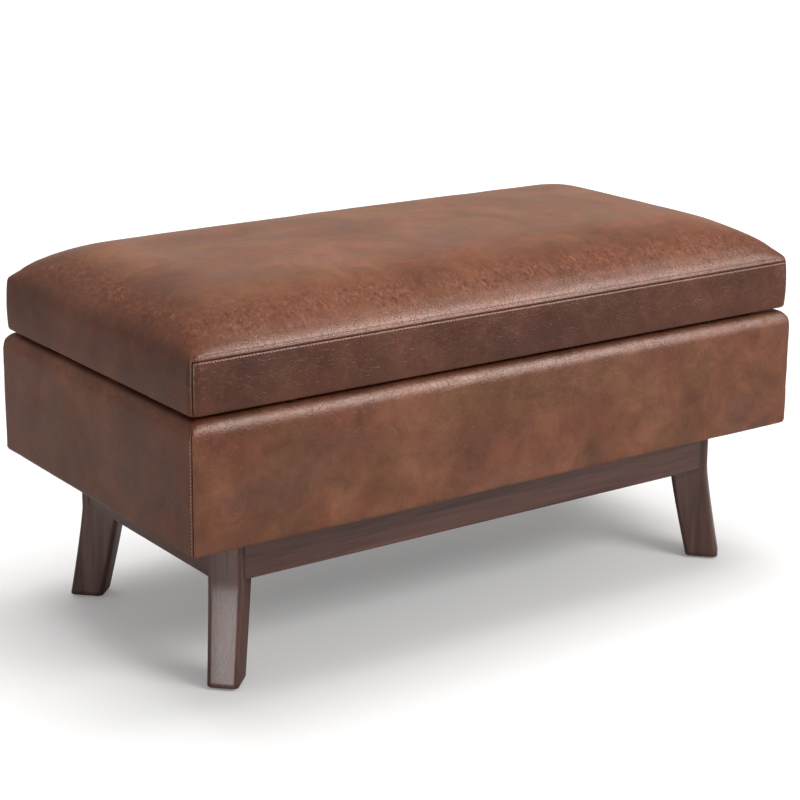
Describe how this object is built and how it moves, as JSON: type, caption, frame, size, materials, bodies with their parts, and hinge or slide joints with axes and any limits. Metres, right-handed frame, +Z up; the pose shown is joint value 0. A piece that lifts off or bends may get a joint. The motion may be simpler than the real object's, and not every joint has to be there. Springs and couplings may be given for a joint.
{
  "type": "storage bench",
  "caption": "Upholstered storage bench: leather-covered box on splayed wooden legs, with a hinged cushioned lid.",
  "frame": {"origin": "on the floor under the middle of the bench", "axes": "+X along the length to the right, +Y to the back where the hinges are, +Z up"},
  "size_m": [0.864, 0.452, 0.4428],
  "materials": {
    "leather": "satin, mottled reddish brown with a fine worn grain",
    "dark_wood": "satin, dark walnut stain",
    "board": "raw sanded plywood and softwood",
    "foam": "matte polyurethane foam",
    "black_cloth": "matte non-woven cloth",
    "steel": "zinc-plated",
    "nylon": "moulded, matte",
    "rubber": "soft, matte"
  },
  "bodies": {
    "base": {"cover_front": "leather", "cover_back": "leather", "cover_left": "leather", "cover_right": "leather", "padding_front": "foam", "padding_back": "foam", "padding_left": "foam", "padding_right": "foam", "board_front": "board", "board_back": "board", "board_left": "board", "board_right": "board", "board_bottom": "board", "lining": "black_cloth", "dust_cover": "black_cloth", "rail_front": "dark_wood", "rail_back": "dark_wood", "rail_left": "dark_wood", "rail_right": "dark_wood", "leg_front_left": "dark_wood", "leg_front_right": "dark_wood", "leg_back_left": "dark_wood", "leg_back_right": "dark_wood", "brace_front_left": "board", "brace_front_right": "board", "brace_back_left": "board", "brace_back_right": "board", "leg_bolt_front_left": "steel", "leg_bolt_front_right": "steel", "leg_bolt_back_left": "steel", "leg_bolt_back_right": "steel", "glide_front_left": "nylon", "glide_front_right": "nylon", "glide_back_left": "nylon", "glide_back_right": "nylon", "hinge_box_leaf_left": "steel", "hinge_pin_left": "steel", "screw_box_left_outer": "steel", "screw_box_left_inner": "steel", "bumper_left": "rubber", "hinge_box_leaf_right": "steel", "hinge_pin_right": "steel", "screw_box_right_outer": "steel", "screw_box_right_inner": "steel", "bumper_right": "rubber"},
    "lid": {"lid_board": "board", "lid_foam": "foam", "lid_top_cover": "leather", "lid_front_strip": "leather", "lid_back_strip": "leather", "lid_lining": "black_cloth", "hinge_lid_leaf_left": "steel", "screw_lid_left_outer": "steel", "screw_lid_left_inner": "steel", "hinge_lid_leaf_right": "steel", "screw_lid_right_outer": "steel", "screw_lid_right_inner": "steel"}
  },
  "joints": [
    {"name": "lid_hinge", "type": "hinge", "parent": "base", "child": "lid", "pos_m": [0, 0.2233, 0.33], "axis": [-1, 0, 0], "range_deg": [0, 100]}
  ]
}
